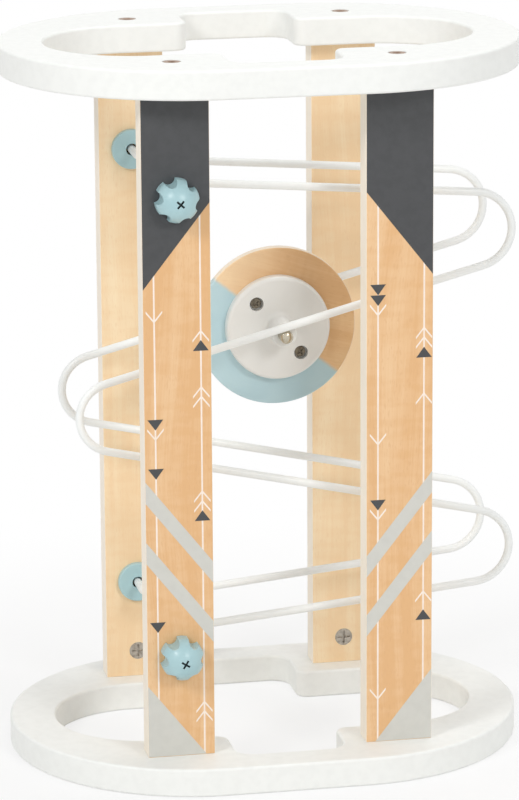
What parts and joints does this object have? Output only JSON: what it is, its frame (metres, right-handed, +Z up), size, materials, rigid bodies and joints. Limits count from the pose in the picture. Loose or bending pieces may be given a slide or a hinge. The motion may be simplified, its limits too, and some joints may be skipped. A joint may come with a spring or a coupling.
{
  "type": "magnetic wheel run",
  "caption": "Tower of two oval rings and plank posts that holds twin zigzag rails; a magnetic wheel rolls down hanging on the rails.",
  "frame": {"origin": "centre of the face that the tower stands on", "axes": "+Z up, +X along the rings' long axis towards the side with the two rail bends, +Y from the viewer's side to the far side"},
  "size_m": [0.288, 0.21, 0.4],
  "materials": {
    "white_paint": "satin white paint over fibreboard, eased edges",
    "printed_ply": "clear-coated birch ply with a printed outer face",
    "white_coated_steel": "white powder coat",
    "bronzed_steel": "bronzed bolt heads",
    "zinc_steel": "zinc plate",
    "two_tone_ply": "clear-coated ply, half of it stained light blue",
    "white_plastic": "moulded, fine satin",
    "pole_steel": "turned and polished",
    "magnet_nickel": "nickel plate",
    "blue_plastic": "moulded, satin",
    "insert_brass": "knurled, moulded in"
  },
  "bodies": {
    "tower": {"bottom_ring": "white_paint", "top_ring": "white_paint", "post_front_left": "printed_ply", "post_front_right": "printed_ply", "post_rear_left": "printed_ply", "post_rear_right": "printed_ply", "rail_front": "white_coated_steel", "rail_rear": "white_coated_steel", "bottom_bolts": "bronzed_steel", "top_bolts": "bronzed_steel", "bottom_barrel_nuts": "zinc_steel", "top_barrel_nuts": "zinc_steel", "collar_front_upper": "blue_plastic", "collar_front_lower": "blue_plastic", "collar_rear_upper": "blue_plastic", "collar_rear_lower": "blue_plastic"},
    "axle": {"axle_pin_front": "pole_steel", "axle_pin_rear": "pole_steel", "magnet": "magnet_nickel"},
    "wheel": {"wheel_disc": "two_tone_ply", "hub_front": "white_plastic", "hub_rear": "white_plastic", "hub_screws": "zinc_steel"},
    "insert_front_upper": {"insert_front_upper": "insert_brass"},
    "knob_front_upper": {"knob_front_upper": "blue_plastic"},
    "insert_front_lower": {"insert_front_lower": "insert_brass"},
    "knob_front_lower": {"knob_front_lower": "blue_plastic"},
    "insert_rear_upper": {"insert_rear_upper": "insert_brass"},
    "knob_rear_upper": {"knob_rear_upper": "blue_plastic"},
    "insert_rear_lower": {"insert_rear_lower": "insert_brass"},
    "knob_rear_lower": {"knob_rear_lower": "blue_plastic"}
  },
  "joints": [
    {"name": "wheel_roll", "type": "slide", "parent": "tower", "child": "axle", "axis": [0.9668, 0, 0.2554], "range_m": [-0.1, 0.1]},
    {"name": "wheel_spin", "type": "hinge", "parent": "axle", "child": "wheel", "pos_m": [0.0085, 0, 0.23699], "axis": [0, -1, 0], "range_deg": [-1590, 1590]},
    {"name": "knob_front_upper_travel", "type": "slide", "parent": "tower", "child": "insert_front_upper", "axis": [0, -1, 0], "range_m": [0, 0.00241]},
    {"name": "knob_front_upper_turn", "type": "hinge", "parent": "insert_front_upper", "child": "knob_front_upper", "pos_m": [-0.061, -0.085, 0.3275], "axis": [0, -1, 0], "range_deg": [0, 1080]},
    {"name": "knob_front_lower_travel", "type": "slide", "parent": "tower", "child": "insert_front_lower", "axis": [0, -1, 0], "range_m": [0, 0.00241]},
    {"name": "knob_front_lower_turn", "type": "hinge", "parent": "insert_front_lower", "child": "knob_front_lower", "pos_m": [-0.061, -0.085, 0.0735], "axis": [0, -1, 0], "range_deg": [0, 1080]},
    {"name": "knob_rear_upper_travel", "type": "slide", "parent": "tower", "child": "insert_rear_upper", "axis": [0, 1, 0], "range_m": [0, 0.00241]},
    {"name": "knob_rear_upper_turn", "type": "hinge", "parent": "insert_rear_upper", "child": "knob_rear_upper", "pos_m": [-0.061, 0.085, 0.3275], "axis": [0, 1, 0], "range_deg": [0, 1080]},
    {"name": "knob_rear_lower_travel", "type": "slide", "parent": "tower", "child": "insert_rear_lower", "axis": [0, 1, 0], "range_m": [0, 0.00241]},
    {"name": "knob_rear_lower_turn", "type": "hinge", "parent": "insert_rear_lower", "child": "knob_rear_lower", "pos_m": [-0.061, 0.085, 0.0735], "axis": [0, 1, 0], "range_deg": [0, 1080]}
  ],
  "couplings": [
    {"joint": "wheel_roll", "follows": "wheel_spin", "m_per_rad": 0.0036},
    {"joint": "knob_front_upper_travel", "follows": "knob_front_upper_turn", "m_per_rad": 0.00012732},
    {"joint": "knob_front_lower_travel", "follows": "knob_front_lower_turn", "m_per_rad": 0.00012732},
    {"joint": "knob_rear_upper_travel", "follows": "knob_rear_upper_turn", "m_per_rad": 0.00012732},
    {"joint": "knob_rear_lower_travel", "follows": "knob_rear_lower_turn", "m_per_rad": 0.00012732}
  ]
}
